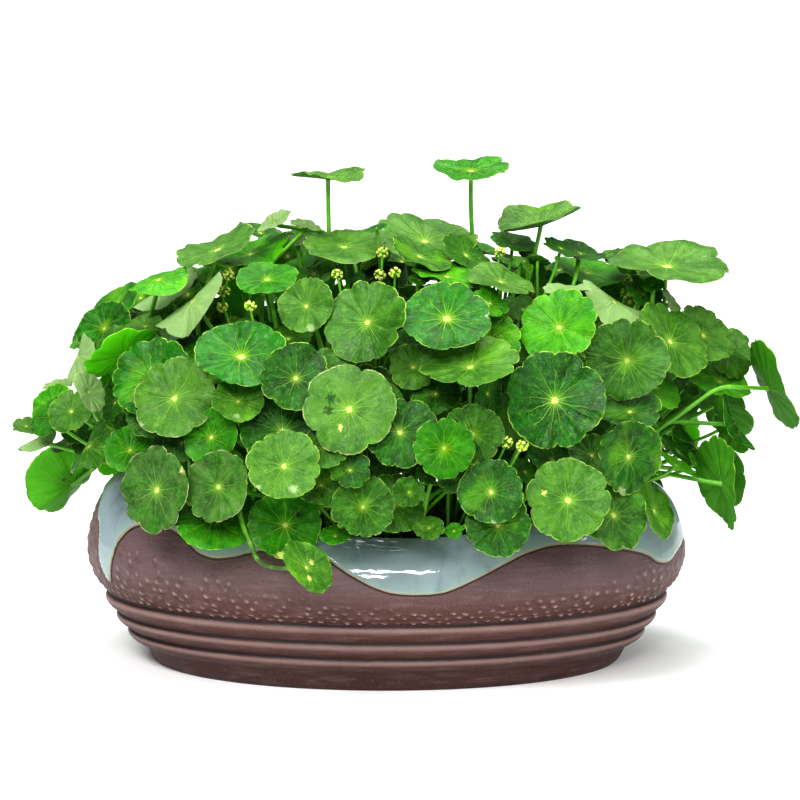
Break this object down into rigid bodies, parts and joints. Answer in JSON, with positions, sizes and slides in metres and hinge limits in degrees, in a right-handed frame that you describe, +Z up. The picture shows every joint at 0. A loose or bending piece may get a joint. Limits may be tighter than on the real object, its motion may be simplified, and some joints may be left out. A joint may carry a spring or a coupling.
{
  "type": "potted water pennywort",
  "caption": "Oval stoneware bowl with a dipped front rim, planted with a dome of round-leaved water pennywort on creeping runners.",
  "frame": {"origin": "middle of the pot's flat underside", "axes": "+X along the pot's long axis to the right seen from the front, -Y towards the front, +Z up"},
  "size_m": [0.4174, 0.2813, 0.2687],
  "materials": {
    "glazed_clay": "bare purple-brown clay below a glossy grey-green glaze",
    "wet_soil": "dark, damp and crumbly",
    "leaf_green": "smooth and glossy, with pale veins",
    "flower_green": "matte yellow-green"
  },
  "bodies": {
    "root": {"pot": "glazed_clay", "soil": "wet_soil", "leafy_runner_01": "leaf_green", "leafy_runner_02": "leaf_green", "leafy_runner_03": "leaf_green", "leafy_runner_04": "leaf_green", "leafy_runner_05": "leaf_green", "leafy_runner_06": "leaf_green", "leafy_runner_07": "leaf_green", "leafy_runner_08": "leaf_green", "leafy_runner_09": "leaf_green", "leafy_runner_10": "leaf_green", "leafy_runner_11": "leaf_green", "leafy_runner_12": "leaf_green", "leafy_runner_13": "leaf_green", "leafy_runner_14": "leaf_green", "leafy_runner_15": "leaf_green", "leafy_runner_16": "leaf_green", "leafy_runner_17": "leaf_green", "leafy_runner_18": "leaf_green", "leafy_runner_19": "leaf_green", "leafy_runner_20": "leaf_green", "leafy_runner_21": "leaf_green", "leafy_runner_22": "leaf_green", "leafy_runner_23": "leaf_green", "leafy_runner_24": "leaf_green", "leafy_runner_25": "leaf_green", "leafy_runner_26": "leaf_green", "leafy_runner_27": "leaf_green", "leafy_runner_28": "leaf_green", "leafy_runner_29": "leaf_green", "leafy_runner_30": "leaf_green", "leafy_runner_31": "leaf_green", "leafy_runner_32": "leaf_green", "leafy_runner_33": "leaf_green", "leafy_runner_34": "leaf_green", "leafy_runner_35": "leaf_green", "leafy_runner_36": "leaf_green", "leafy_runner_37": "leaf_green", "leafy_runner_38": "leaf_green", "leafy_runner_39": "leaf_green", "leafy_runner_40": "leaf_green", "leafy_runner_41": "leaf_green", "leafy_runner_42": "leaf_green", "leafy_runner_43": "leaf_green", "leafy_runner_44": "leaf_green", "leafy_runner_45": "leaf_green", "leafy_runner_46": "leaf_green", "leafy_runner_47": "leaf_green", "leafy_runner_48": "leaf_green", "leafy_runner_49": "leaf_green", "flower_stalk_1": "flower_green", "flower_stalk_2": "flower_green", "flower_stalk_3": "flower_green", "flower_stalk_4": "flower_green", "flower_stalk_5": "flower_green", "flower_stalk_6": "flower_green", "flower_stalk_7": "flower_green", "flower_stalk_8": "flower_green", "flower_stalk_9": "flower_green"}
  },
  "joints": []
}
